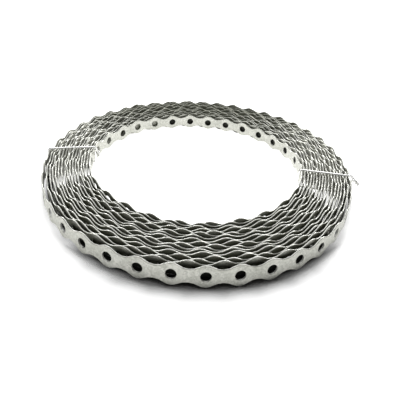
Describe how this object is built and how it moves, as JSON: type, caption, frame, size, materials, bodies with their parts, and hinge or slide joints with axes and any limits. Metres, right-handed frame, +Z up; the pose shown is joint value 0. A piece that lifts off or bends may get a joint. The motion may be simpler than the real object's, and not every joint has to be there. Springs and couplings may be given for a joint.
{
  "type": "perforated steel strap",
  "caption": "Flat coil of wavy-edged galvanised steel strap punched with a row of screw holes, held by twisted tie wires; unwound, it hangs or fixes pipes and timbers.",
  "frame": {"origin": "on the floor, under the middle of the coil's bore", "axes": "+Z up along the coil's axis; the ties lie to the right (+X) and left (-X), -Y faces the viewer"},
  "size_m": [0.2181, 0.2168, 0.0148],
  "materials": {
    "strap_steel": "galvanised, dull with fine spangle",
    "wire_steel": "galvanised soft wire"
  },
  "bodies": {
    "root": {"strap": "strap_steel", "tie_wire_right": "wire_steel", "tie_wire_left": "wire_steel"}
  },
  "joints": []
}
